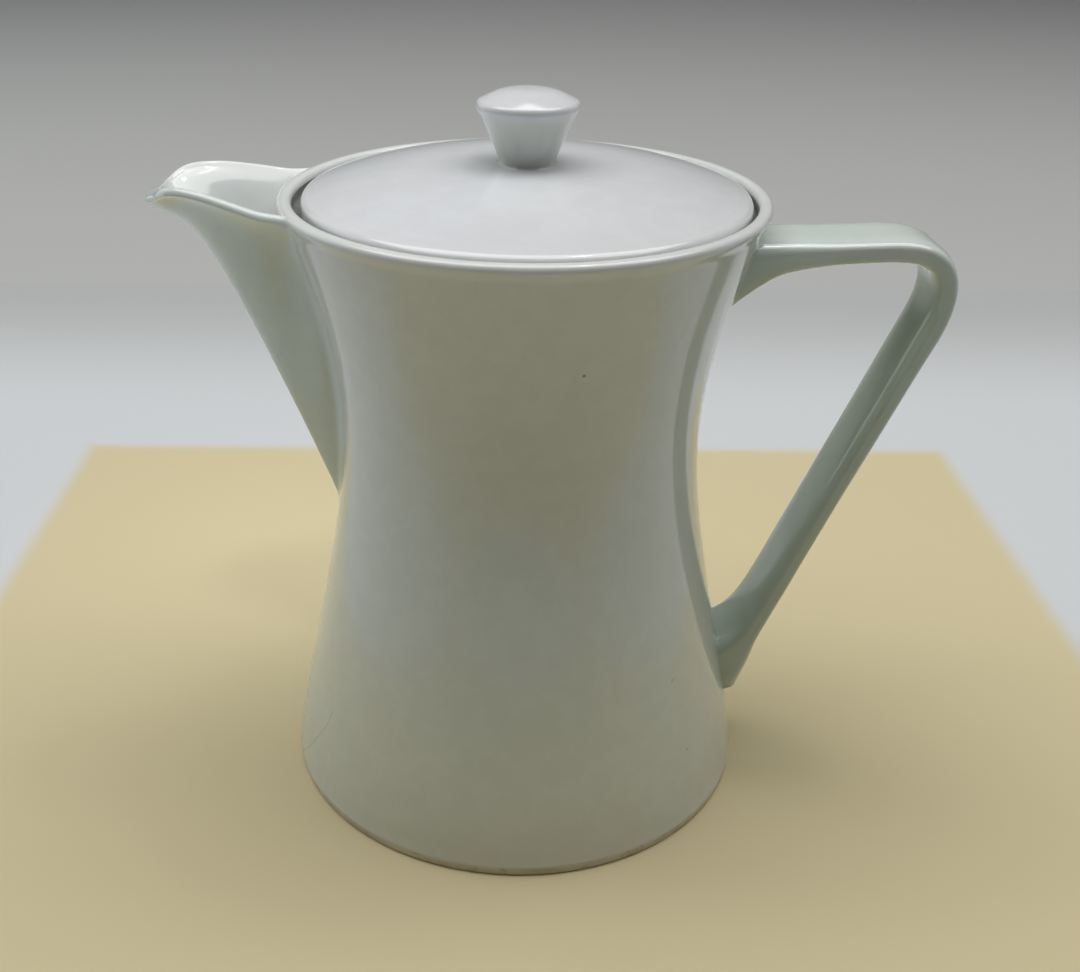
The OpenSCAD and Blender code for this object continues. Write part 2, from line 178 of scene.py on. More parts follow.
class Builder:
    """Collects vertices with their attributes and faces with their material."""

    def __init__(self):
        self.v, self.a, self.f, self.m = [], [], [], []
        self.n = 0

    def add(self, pts, pool_and_shade=0.0, thin_and_lit=0.0):
        pts = np.asarray(pts, float).reshape(-1, 3)
        k = len(pts)
        at = np.empty((k, 2))
        at[:, 0] = pool_and_shade
        at[:, 1] = thin_and_lit
        self.v.append(pts)
        self.a.append(at)
        self.n += k
        return np.arange(self.n - k, self.n)

    def quad(self, a, b, c, d, mat=0):
        self.f.append((int(a), int(b), int(c), int(d)))
        self.m.append(mat)

    def tri(self, a, b, c, mat=0):
        self.f.append((int(a), int(b), int(c)))
        self.m.append(mat)

    def loops(self, p, q, mat=0, closed=True):
        n = len(p)
        for i in range(n if closed else n - 1):
            k = (i + 1) % n
            self.quad(p[i], p[k], q[k], q[i], mat)

    def fan(self, loop, centre, mat=0):
        n = len(loop)
        for i in range(n):
            self.tri(loop[i], loop[(i + 1) % n], centre, mat)

    def build(self, name, materials, body, replaces, sharp=40.0):
        v = np.concatenate(self.v)
        a = np.concatenate(self.a)
        used = np.zeros(len(v), bool)
        for f in self.f:
            used[list(f)] = True
        new = np.cumsum(used) - 1
        faces = [tuple(int(new[i]) for i in f) for f in self.f]
        v, a = v[used], a[used]
        me = bpy.data.meshes.new(name)
        me.from_pydata((v * MM).tolist(), [], faces)
        for m in materials:
            me.materials.append(m)
        me.polygons.foreach_set("material_index", np.array(self.m, np.int32))
        for k, an in enumerate(("pool_and_shade", "thin_and_lit")):
            at = me.attributes.new(an, "FLOAT", "POINT")
            at.data.foreach_set("value", np.ascontiguousarray(a[:, k], np.float32))
        bm = bmesh.new()
        bm.from_mesh(me)
        bmesh.ops.recalc_face_normals(bm, faces=bm.faces)
        if bm.calc_volume(signed=True) < 0:
            bmesh.ops.reverse_faces(bm, faces=bm.faces)
        bm.to_mesh(me)
        bm.free()
        me.polygons.foreach_set("use_smooth", np.ones(len(me.polygons), bool))
        me.set_sharp_from_angle(angle=math.radians(sharp))
        me.update()
        ob = bpy.data.objects.new(name, me)
        bpy.context.scene.collection.objects.link(ob)
        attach(ob, body)
        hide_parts(*replaces)
        return ob


def revolve(b, profile, cols, shift=0.0, wobble=None):
    """Closed revolve of rows (r, z, glaze pool and painted shade, pale glaze and painted light, mat); rows at r ==
    0 are poles. mat is that of the band after the row.
    """
    phi = 2*math.pi*np.arange(cols) / cols
    rows = []
    for r, z, pool_and_shade, thin_and_lit, mat in profile:
        if r < 1e-6:
            rows.append(b.add([[shift, 0, z]], pool_and_shade, thin_and_lit))
        else:
            p = polar(np.full(cols, r), phi, np.full(cols, z))
            if wobble is not None:
                p = wobble(p)
            p[:, 0] += shift
            rows.append(b.add(p, pool_and_shade, thin_and_lit))
    for k in range(len(rows) - 1):
        p, q, mat = rows[k], rows[k+1], profile[k][4]
        if len(p) == 1:
            b.fan(q, p[0], mat)
        elif len(q) == 1:
            b.fan(p, q[0], mat)
        else:
            b.loops(p, q, mat)
    if len(rows[0]) > 1:
        b.loops(rows[-1], rows[0], profile[-1][4])
    return rows


# ======================================================================
# Materials
# ======================================================================


class Nodes:
    def __init__(self, name):
        self.mat = bpy.data.materials.new(name)
        self.mat.use_nodes = True
        self.t = self.mat.node_tree
        self.t.nodes.clear()
        self.out = self.t.nodes.new("ShaderNodeOutputMaterial")
        self.bsdf = self.t.nodes.new("ShaderNodeBsdfPrincipled")
        self.t.links.new(self.bsdf.outputs[0], self.out.inputs[0])
        self.co = self.t.nodes.new("ShaderNodeTexCoord").outputs["Object"]

    def link(self, a, b):
        self.t.links.new(a, b)

    def put(self, socket, value):
        if isinstance(value, bpy.types.NodeSocket):
            self.t.links.new(value, socket)
        else:
            socket.default_value = value

    def attr(self, name):
        n = self.t.nodes.new("ShaderNodeAttribute")
        n.attribute_name = name
        return n.outputs["Fac"]

    def math(self, op, a, b=0.5, c=0.5, clamp=False):
        n = self.t.nodes.new("ShaderNodeMath")
        n.operation = op
        n.use_clamp = clamp
        for s, v in zip(n.inputs, (a, b, c)):
            self.put(s, v)
        return n.outputs[0]

    def vec(self, op, a, b=(0, 0, 0)):
        n = self.t.nodes.new("ShaderNodeVectorMath")
        n.operation = op
        self.put(n.inputs[0], a)
        if op == "SCALE":
            self.put(n.inputs["Scale"], b)
        else:
            self.put(n.inputs[1], b)
        return n.outputs["Value"] if op in ("DISTANCE", "DOT_PRODUCT", "LENGTH") else n.outputs["Vector"]

    def noise(self, scale, detail=2.0, rough=0.5, distortion=0.0, offset=(0, 0, 0), stretch=(1, 1, 1)):
        m = self.t.nodes.new("ShaderNodeMapping")
        self.put(m.inputs["Vector"], self.co)
        m.inputs["Location"].default_value = offset
        m.inputs["Scale"].default_value = stretch
        n = self.t.nodes.new("ShaderNodeTexNoise")
        self.put(n.inputs["Vector"], m.outputs[0])
        n.inputs["Scale"].default_value = scale
        n.inputs["Detail"].default_value = detail
        n.inputs["Roughness"].default_value = rough
        n.inputs["Distortion"].default_value = distortion
        return n.outputs["Fac"]

    def voronoi(self, scale, feature="F1", rnd=1.0):
        n = self.t.nodes.new("ShaderNodeTexVoronoi")
        n.feature = feature
        self.put(n.inputs["Vector"], self.co)
        n.inputs["Scale"].default_value = scale
        n.inputs["Randomness"].default_value = rnd
        return n.outputs

    def ramp(self, fac, lo, hi, to_lo=0.0, to_hi=1.0, smooth=True):
        n = self.t.nodes.new("ShaderNodeMapRange")
        n.interpolation_type = "SMOOTHSTEP" if smooth else "LINEAR"
        self.put(n.inputs[0], fac)
        for i, v in zip((1, 2, 3, 4), (lo, hi, to_lo, to_hi)):
            self.put(n.inputs[i], v)
        return n.outputs[0]

    def mix(self, fac, a, b):
        n = self.t.nodes.new("ShaderNodeMix")
        n.data_type = "RGBA"
        self.put(n.inputs[0], fac)
        self.put(n.inputs[6], a)
        self.put(n.inputs[7], b)
        return n.outputs[2]

    def bump(self, height, strength, distance, normal=None):
        n = self.t.nodes.new("ShaderNodeBump")
        n.inputs["Strength"].default_value = strength
        n.inputs["Distance"].default_value = distance
        self.put(n.inputs["Height"], height)
        if normal is not None:
            self.put(n.inputs["Normal"], normal)
        return n.outputs[0]

    def axis(self, i):
        n = self.t.nodes.new("ShaderNodeSeparateXYZ")
        self.put(n.inputs[0], self.co)
        return n.outputs[i]

    def dist(self, p):
        return self.vec("DISTANCE", self.co, tuple(c * MM for c in p))

    def segment(self, a, b):
        """Distance from a straight segment, in metres."""
        a = np.array(a) * MM
        b = np.array(b) * MM
        d = b - a
        pa = self.vec("SUBTRACT", self.co, tuple(a))
        h = self.math("MULTIPLY", self.vec("DOT_PRODUCT", pa, tuple(d)), 1.0 / float(d @ d), clamp=True)
        n = self.t.nodes.new("ShaderNodeVectorMath")
        n.operation = "SCALE"
        n.inputs[0].default_value = tuple(d)
        self.put(n.inputs["Scale"], h)
        return self.vec("LENGTH", self.vec("SUBTRACT", pa, n.outputs["Vector"]))


def rgb(r, g, b):
    return (r, g, b, 1.0)


def glaze(name, base, warm, pooled_shaded, thin_and_lit, marks=False, seed=0.0, bare=False):
    m = Nodes(name)
    # broad drifts of tone where the glaze ran thicker or thinner
    broad = m.ramp(m.noise(19.0, 2.0, 0.5, 0.4, (seed, 0.2, 0.0), (1, 1, 0.55)), 0.32, 0.7)
    fine = m.ramp(m.noise(150.0, 3.0, 0.6, 0.2, (0.0, seed, 0.3)), 0.36, 0.66)
    col = m.mix(broad, base, warm)
    n = m.t.nodes.new("ShaderNodeHueSaturation")
    m.put(n.inputs["Color"], col)
    m.put(n.inputs["Value"], m.ramp(fine, 0.0, 1.0, 0.985, 1.012))
    col = n.outputs[0]
    # glaze lies thick and green in the corners, thin and pale on the edges; the same two masks also carry painted
    # shade in creases and on shaded faces, and painted highlight on lit edges and faces
    thick_shaded = m.math("MULTIPLY", m.attr("pool_and_shade"), m.ramp(m.noise(90.0, 2.0, 0.5, 0.0, (0.4, 0.0, seed)), 0.2, 0.8, 0.7, 1.0), clamp=True)
    col = m.mix(thick_shaded, col, pooled_shaded)
    edge = m.math("MULTIPLY", m.attr("thin_and_lit"), m.ramp(m.noise(70.0, 2.0, 0.5, 0.0, (0.1, seed, 0.7)), 0.25, 0.75, 0.65, 1.0), clamp=True)
    col = m.mix(edge, col, thin_and_lit)
    # pin-head iron specks, few and far between
    vo = m.voronoi(62.0)
    dots = m.ramp(vo["Distance"], 0.010, 0.022, 1.0, 0.0)
    pick = m.t.nodes.new("ShaderNodeSeparateColor")
    m.put(pick.inputs[0], vo["Color"])
    dots = m.math("MULTIPLY", dots, m.ramp(pick.outputs[0], 0.90, 0.92, 0.0, 0.55))
    col = m.mix(dots, col, rgb(0.20, 0.19, 0.15))
    pits = dots
    if marks:
        for p, r, k in (((12.96, -51.42, 136.86), 0.62, 0.75), ((46.07, -40.2, 22.82), 0.5, 0.5)):
            spot = m.ramp(m.dist(p), r*0.35*MM, r*MM, k, 0.0)
            col = m.mix(spot, col, rgb(0.16, 0.16, 0.14))
            pits = m.math("MAXIMUM", pits, spot)
        dash = m.segment((40.4, -39.45, 44.2), (41.5, -38.4, 45.2))
        col = m.mix(m.ramp(dash, 0.10*MM, 0.32*MM, 0.45, 0.0), col, rgb(0.22, 0.22, 0.18))
        line = None
        pts = ((-63.47, -13.73, 1.2), (-61.75, -18.4, 4.6), (-59.81, -22.29, 8.68), (-56.9, -26.3, 14.9),
               (-53.41, -30.18, 21.85), (-50.82, -31.67, 28.77))
        for a, b in zip(pts[:-1], pts[1:]):
            s = m.segment(a, b)
            line = s if line is None else m.math("MINIMUM", line, s)
        wav = m.math("ADD", line, m.ramp(m.noise(420.0, 2.0, 0.5), 0.0, 1.0, -0.00012, 0.00012))
        crack = m.ramp(wav, 0.05*MM, 0.20*MM, 0.42, 0.0)
        col = m.mix(crack, col, rgb(0.25, 0.24, 0.18))
    m.put(m.bsdf.inputs["Base Color"], col)
    # gloss, a touch duller where the surface has been handled and washed
    rough = m.ramp(m.noise(34.0, 3.0, 0.6, 0.3, (seed, 0.5, 0.1)), 0.3, 0.75, 0.075, 0.135)
    rough = m.math("ADD", rough, m.ramp(m.noise(600.0, 2.0, 0.5), 0.35, 0.7, 0.0, 0.02))
    m.put(m.bsdf.inputs["Roughness"], rough)
    m.bsdf.inputs["IOR"].default_value = 1.5
    m.bsdf.inputs["Coat Weight"].default_value = 0.35
    m.bsdf.inputs["Coat Roughness"].default_value = 0.04
    m.bsdf.inputs["Subsurface Weight"].default_value = 0.0
    # slow waviness of the poured glaze, and its fine orange peel
    n1 = m.bump(m.noise(42.0, 1.5, 0.45, 0.0, (seed, 0.0, 0.9)), 0.10, 0.0011)
    n2 = m.bump(m.noise(340.0, 2.0, 0.5), 0.05, 0.00016, n1)
    n3 = m.bump(pits, 0.25, 0.0001, n2)
    m.put(m.bsdf.inputs["Normal"], n3)
    m.put(m.bsdf.inputs["Coat Normal"], n2)
    return m.mat


def biscuit(name, light, dark, dirt):
    """Bare fired porcelain of the foot ring and of the faces the lid bears on; in dark colours it is the painted
    shade in the gap round the lid.
    """
    m = Nodes(name)
    cloud = m.ramp(m.noise(60.0, 4.0, 0.65, 0.5), 0.35, 0.7)
    col = m.mix(cloud, light, dark)
    grime = m.ramp(m.noise(220.0, 5.0, 0.7, 1.2), 0.52, 0.72, 0.0, 0.65)
    col = m.mix(grime, col, dirt)
    m.put(m.bsdf.inputs["Base Color"], col)
    m.put(m.bsdf.inputs["Roughness"], m.ramp(cloud, 0.0, 1.0, 0.6, 0.8))
    grain = m.bump(m.noise(1800.0, 3.0, 0.6), 0.35, 0.0001)
    m.put(m.bsdf.inputs["Normal"], m.bump(m.noise(240.0, 3.0, 0.5), 0.3, 0.0003, grain))
    return m.mat


CELADON = glaze("celadon_glaze", rgb(0.640, 0.690, 0.638), rgb(0.655, 0.685, 0.615), rgb(0.50, 0.60, 0.545),
                rgb(0.775, 0.790, 0.785), marks=True, seed=0.0)
# the mint's olive pooled colour doubles as painted shade on the handle and in the spout's and handle's root creases
MINT = glaze("mint_glaze", rgb(0.590, 0.690, 0.640), rgb(0.605, 0.685, 0.625), rgb(0.39, 0.475, 0.375),
             rgb(0.775, 0.800, 0.795), seed=0.6)
# the white glaze's pooled colour doubles as painted shade on the knob's cone
WHITE = glaze("white_glaze", rgb(0.725, 0.745, 0.775), rgb(0.735, 0.748, 0.765), rgb(0.69, 0.72, 0.64),
              rgb(0.80, 0.80, 0.80), seed=1.3)
BISCUIT = biscuit("bare_porcelain", rgb(0.70, 0.66, 0.57), rgb(0.60, 0.55, 0.45), rgb(0.30, 0.25, 0.18))
# dark grey painted shade on the rim's inner face and the seat, in the gap round the lid, made with the
# bare-porcelain shader
SEAT_SHADE = biscuit("seat_painted_shade", rgb(0.21, 0.215, 0.20), rgb(0.17, 0.17, 0.155), rgb(0.10, 0.095, 0.08))

# ======================================================================
# Body
# ======================================================================

COLS = 256
HALF = 12
HOLE_ROWS = np.linspace(117.5, 155.5, 25)


def body_visual():
    b = Builder()
    phi = 2*math.pi*np.arange(COLS) / COLS
    prof = []          # r, z, glaze pool and painted shade, pale glaze and painted light, mat, tag

    def rows(pts, pool_and_shade=0.0, thin_and_lit=0.0, mat=0, tag=""):
        for p in pts:
            prof.append([float(p[0]), float(p[1]), pool_and_shade, thin_and_lit, mat, tag])

    # underside: glazed recess inside the bare foot ring
    rows([(0, 2.5)] + [(r, 2.5) for r in (2, 5, 10, 16, 23, 30, 37, 44, 50, 53)], 0.25)
    ring = rounded([(54.0, 2.5, 0), (57.5, 2.45, 2.4), (58.9, 0.0, 0.55), (64.45, 0.0, 0.7),
                    (float(body_r(2.6)) + 0.02, 2.6, 0)], 8)
    for p in ring:
        bare = 58.3 < p[0] and p[1] < 0.75
        rows([p], 0.5 if p[0] < 57.9 else 0.0, 0.0, 1 if bare else 0)
    z = 3.2
    zs = list(np.arange(3.2, 16, 1.1)) + list(np.linspace(16.3, 116, 56))
    for z in zs:
        rows([(body_r(z), z)], 0.0, max(0.0, 0.35 * (1 - (z - 2.5) / 4)))
    for z in HOLE_ROWS:
        rows([(wall_r(z), z)], tag="out")
    rows([(wall_r(z), z) for z in np.linspace(156.7, 161.4, 5)[:-1]])
    # the bead's upper half and the lip are paler: thin glaze on the rim plus painted highlight on its lit top
    for i, p in enumerate(BEAD):
        k = i / 12
        rows([p], 0.06 * math.sin(math.pi * min(1, k * 1.25)), 0.6 * max(0, k - 0.5) / 0.5)
    for p in lip_circle(18, 180, 20)[1:]:
        rows([p], 0.0, 0.85)
    # the band from the lip's inner end down the rim's inner face, and the seat beyond r 55.3, take the dark
    # painted-shade material
    prof[-1][4] = 2
    seat = rounded([(58.4, 163.6, 0), (58.4, 161.8, 0.75), (55.4, 161.8, 0), (51.3, 161.8, 0.5), (51.3, 158.6, 0.9),
                    (float(inner_r(156.6)), 156.6, 0)], 6)
    for p in seat:
        ledge = p[1] < 162.0 and p[1] > 161.2 and p[0] < 58.0
        rows([p], 0.0, 0.2 if p[0] < 52 else 0.0,
             2 if p[0] > 55.3 else 1 if ledge and p[0] > 51.6 else 0)
    for z in HOLE_ROWS[::-1]:
        rows([(inner_r(z), z)], tag="in")
    for z in np.linspace(115, 16, 40):
        rows([(inner_r(z), z)])
    fr = float(inner_r(16))
    for a in np.radians(np.linspace(0, 90, 13))[1:]:
        rows([(fr - 9 + 9*math.cos(a), 16 - 9*math.sin(a))], 0.35 * math.sin(a))
    rows([(r, 7.0) for r in (44, 36, 28, 20, 12, 6, 2.5, 0)], 0.3)

    grid = []
    for r, z, pool_and_shade, thin_and_lit, mat, tag in prof:
        if r < 1e-6:
            grid.append(b.add([[0, 0, z]], pool_and_shade, thin_and_lit))
        else:
            grid.append(b.add(polar(np.full(COLS, r), phi, np.full(COLS, z)), pool_and_shade, thin_and_lit))
    out = [i for i, p in enumerate(prof) if p[5] == "out"]
    inn = [i for i, p in enumerate(prof) if p[5] == "in"]
    c0, c1 = COLS//2 - HALF, COLS//2 + HALF
    for k in range(len(prof) - 1):
        p, q, mat = grid[k], grid[k+1], prof[k][4]
        if len(p) == 1:
            b.fan(q, p[0], mat)
        elif len(q) == 1:
            b.fan(p, q[0], mat)
        else:
            cut = (k in out and k+1 in out) or (k in inn and k+1 in inn)
            for i in range(COLS):
                if cut and c0 <= i < c1:
                    continue
                j = (i + 1) % COLS
                b.quad(p[i], p[j], q[j], q[i], mat)

    # pouring hole: rings from the block's border to the hole, a rounded edge, then the tunnel
    def border(idx):
        lo, hi = idx[0], idx[-1]
        loop = [(lo, c) for c in range(c0, c1)] + [(r, c1) for r in idx[:-1]]
        loop += [(hi, c) for c in range(c1, c0, -1)] + [(r, c0) for r in idx[:0:-1]]
        return [grid[r][c] for r, c in loop]

    allv = np.concatenate(b.v)
    lo_out = border(out)
    lo_in = border(inn[::-1])
    po = allv[lo_out]
    centre = np.clip(po[:, 2], 128.5, 144.5)
    dirs = np.stack([po[:, 1], po[:, 2] - centre], 1)
    dirs /= np.linalg.norm(dirs, axis=1)[:, None]

    def rings(start, rad, sign):
        p = allv[start]
        prev = list(start)
        goal = np.stack([dirs[:, 0]*8.7, centre + dirs[:, 1]*8.7], 1)
        for k in range(1, 9):
            v = k / 8
            yz = p[:, 1:]*(1 - v) + goal*v
            x = -np.sqrt(rad(yz[:, 1])**2 - yz[:, 0]**2)
            cur = b.add(np.stack([x, yz[:, 0], yz[:, 1]], 1))
            b.loops(prev, cur)
            prev = list(cur)
        for a in np.radians((18, 36, 54, 72, 90)):
            o = 7.5 + 1.2*(1 - math.sin(a))
            dep = 1.2*(1 - math.cos(a))
            yz = np.stack([dirs[:, 0]*o, centre + dirs[:, 1]*o], 1)
            x = -np.sqrt(rad(yz[:, 1])**2 - yz[:, 0]**2) + sign*dep
            cur = b.add(np.stack([x, yz[:, 0], yz[:, 1]], 1), 0.2)
            b.loops(prev, cur)
            prev = list(cur)
        return prev

    e_out = rings(lo_out, wall_r, 1.0)
    e_in = rings(lo_in, inner_r, -1.0)
    b.loops(e_out, e_in)
    return b.build("pot_body_visual",  [CELADON, BISCUIT, SEAT_SHADE], "pot", ["pot_body", "pot_floor"])


# ======================================================================
# Joints on the body: rings that run from the body's surface into a limb
# ======================================================================


def joint_rows(joint, first, f_body, steps=10):
    """joint (n,3) on the body's outside; first (n,3) the limb's points where its own surface takes over.
    Returns rings from inside the wall, over the body's surface, to the row before `first`."""
    phi = np.unwrap(np.arctan2(joint[:, 1], joint[:, 0]))
    r = np.hypot(joint[:, 0], joint[:, 1])
    s = s_of_z(joint[:, 2])
    q = np.stack([phi * r.mean(), s], 1)
    tan = np.roll(q, -1, 0) - np.roll(q, 1, 0)
    tan /= np.linalg.norm(tan, axis=1)[:, None]
    for _ in range(2):
        tan = np.roll(tan, 1, 0) + 2*tan + np.roll(tan, -1, 0)
        tan /= np.linalg.norm(tan, axis=1)[:, None]
    area = float(np.sum(q[:, 0]*np.roll(q[:, 1], -1) - np.roll(q[:, 0], -1)*q[:, 1]))
    n = np.stack([tan[:, 1], -tan[:, 0]], 1) * (1 if area > 0 else -1)

    def at(d, lift):
        rr, zz, nr, nz = on_path(s + n[:, 1]*d)
        ph = phi + n[:, 0]*d / r
        return polar(rr + nr*lift, ph, zz + nz*lift)

    rows = [at(f_body + 0.5, -0.7), at(f_body + 0.45, -0.06), at(f_body, 0.0)]
    k, j, a = rows[-1], joint, first
    for i in range(1, steps):
        v = i / steps
        rows.append((1-v)**2*k + 2*v*(1-v)*j + v*v*a)
    return rows


def bisect(f, inside, outside, n=34):
    a, c = np.array(inside, float), np.array(outside, float)
    for _ in range(n):
        m = (a + c) / 2
        neg = f(m) < 0
        a = np.where(neg, m, a)
        c = np.where(neg, c, m)
    return (a + c) / 2


def off_body(p):
    return np.hypot(p[..., 0], p[..., 1]) - wall_r(p[..., 2])


def blur(x, n=1):
    for _ in range(n):
        x = (np.roll(x, 1) + 2*x + np.roll(x, -1)) / 4
    return x


# ======================================================================
# Spout
# ======================================================================

KEEL = [[40, 49], [47, 69.5], [50.4, 79.4], [54.5, 90.2], [59.2, 102.4], [63.8, 113.6], [67.9, 123.5],
        [71.3, 131.4], [74.9, 139.3], [78.7, 147.3], [82.3, 153.5], [85.8, 157.5], [88.6, 159.2],
        [91.6, 160.3], [94, 161.0], [95.6, 162.4]]
LIP_Z = [[40, 165.6], [56, 165.6], [62.7, 165.9], [69.3, 167.3], [75.9, 168.7], [80, 169.3], [84, 169.5],
         [87, 169.2], [89, 168.5], [90.5, 167.5], [92, 166.25], [93.4, 165.5], [94.6, 164.8], [95.6, 163.6]]
LIP_B = [[40, 1.30], [52, 1.20], [56, 1.07], [59.4, 1.0], [66, 0.934], [72.6, 0.828], [78, 0.735],
         [82, 0.657], [86, 0.58], [88, 0.528], [90, 0.448], [91.6, 0.345], [93.2, 0.24], [94.4, 0.16],
         [95.2, 0.095], [95.6, 0.03]]
LIP_W = [[40, 1], [86, 1], [88, 1.1], [90, 1.5], [91, 2.3], [92, 3.4], [96, 4]]
FLOOR_K = [[40, 1.94], [50, 1.94], [86, 1.25], [88.5, 1.35], [90.5, 1.6], [92, 1.85], [96, 2]]
KEEL_ROUND = [[40, 0.05], [54, 0.07], [65, 0.12], [75, 0.24], [83, 0.5], [89, 0.9], [96, 1.2]]
LIP_FLARE = [[40, 0.22], [60, 0.20], [72, 0.14], [84, 0.10], [96, 0.05]]

TX = np.arange(40.0, 95.601, 0.05)


def table(t, sigma):
    """Smooth look-up made even smoother: a table at even steps, softened in its middle part."""
    t = np.array(t, float)
    x, y = t[:, 0], t[:, 1]
    m = np.empty(len(x))
    m[1:-1] = (y[2:] - y[:-2]) / (x[2:] - x[:-2])
    m[0] = (y[1] - y[0]) / (x[1] - x[0])
    m[-1] = (y[-1] - y[-2]) / (x[-1] - x[-2])
    i = np.clip(np.searchsorted(x, TX, side="right") - 1, 0, len(x) - 2)
    h = x[i+1] - x[i]
    u = np.clip((TX - x[i]) / h, 0, 1)
    v = ((2*u**3 - 3*u**2 + 1)*y[i] + (u**3 - 2*u**2 + u)*h*m[i]
         + (3*u**2 - 2*u**3)*y[i+1] + (u**3 - u**2)*h*m[i+1])
    g = soften(v, sigma / 0.05)
    w = np.clip((91.0 - TX) / 6.0, 0, 1)
    w = w*w*(3 - 2*w)
    return v*(1 - w) + g*w


T_KEEL, T_LIP, T_HALF = table(KEEL, 2.2), table(LIP_Z, 1.6), 24.4*table(LIP_B, 1.6)
T_W, T_FK, T_CR, T_FL = table(LIP_W, 0.8), table(FLOOR_K, 1.0), table(KEEL_ROUND, 2.5), table(LIP_FLARE, 2.5)

SN, SR = 44, 13
SM = 2*SN + 1
SL = 2*SM + 2*SR
_j = np.arange(SL)
S_PART = np.where(_j < SM, 0, np.where(_j < SM+SR, 1, np.where(_j < 2*SM+SR, 2, 3)))
_i = np.where(S_PART == 0, _j - SN, np.where(S_PART == 2, SN - (_j - SM - SR), 0))
S_T = (np.abs(_i) / SN)**1.5
S_S = np.where(_i < 0, -1.0, 1.0)
S_A = np.radians(np.where(S_PART == 1, 180*(_j - SM + 1)/(SR + 1), 180*(SL - _j)/(SR + 1)))


def s_point(x):
    """Points of all lines at reaches x (..., SL) -> (..., SL, 3)."""
    x = np.broadcast_to(x, np.shape(x)[:-1] + (SL,)).astype(float)
    g = lambda tab: np.interp(x, TX, tab)
    zk, zl, b = g(T_KEEL), g(T_LIP), g(T_HALF)
    w = np.minimum(3.2*g(T_W), 0.97*b)
    ro = np.minimum(np.minimum(1.75, 0.55*w), (zl - zk)/2.2)
    zi = np.minimum(zk + 3.2*g(T_FK), zl - 0.06)
    hi = np.minimum(np.minimum(1.15, 0.9*w), np.minimum((zl - zk)/2.2, (zl - zi)/2))
    bi = b - w
    c, q = g(T_CR), g(T_FL)
    slope = bi*((1 - q)*(1 + c)/((1 + c)**2 - c*c) + 9*q)/(zl - hi - zi)
    t = S_T
    share = (1 - q)*np.sqrt(((t + c)**2 - c*c) / ((1 + c)**2 - c*c)) + q*t**9
    near = np.cos(S_A) >= 0
    v = np.clip(np.degrees(S_A)/90 - 1, 0, 1)
    crest = b - ro
    turn = np.clip(bi + slope*hi, bi, crest - 0.25*(crest - bi))
    ry = np.where(near, crest + ro*np.cos(S_A), (1 - v)**2*crest + 2*v*(1 - v)*turn + v*v*bi)
    rz = np.where(near, zl - ro*(1 - np.sin(S_A)), zl - hi*v*v)
    y = np.where(S_PART == 0, S_S*b*share, np.where(S_PART == 1, ry, np.where(S_PART == 2, S_S*bi*share, -ry)))
    z = np.where(S_PART == 0, zk + (zl - ro - zk)*t,
                 np.where(S_PART == 2, zi + (zl - hi - zi)*t, rz))
    return np.stack([-x, y, z], -1)


def along(point_at, start, end, dist, n=240):
    """Parameter at which each line, from start to end, has run the given length."""
    v = np.linspace(0, 1, n + 1)[:, None]
    par = start[None]*(1 - v) + end*v
    p = point_at(par)
    cum = np.concatenate([np.zeros((1, p.shape[1])), np.cumsum(np.linalg.norm(np.diff(p, axis=0), axis=2), 0)])
    return np.array([np.interp(dist[k], cum[:, k], par[:, k]) for k in range(p.shape[1])])


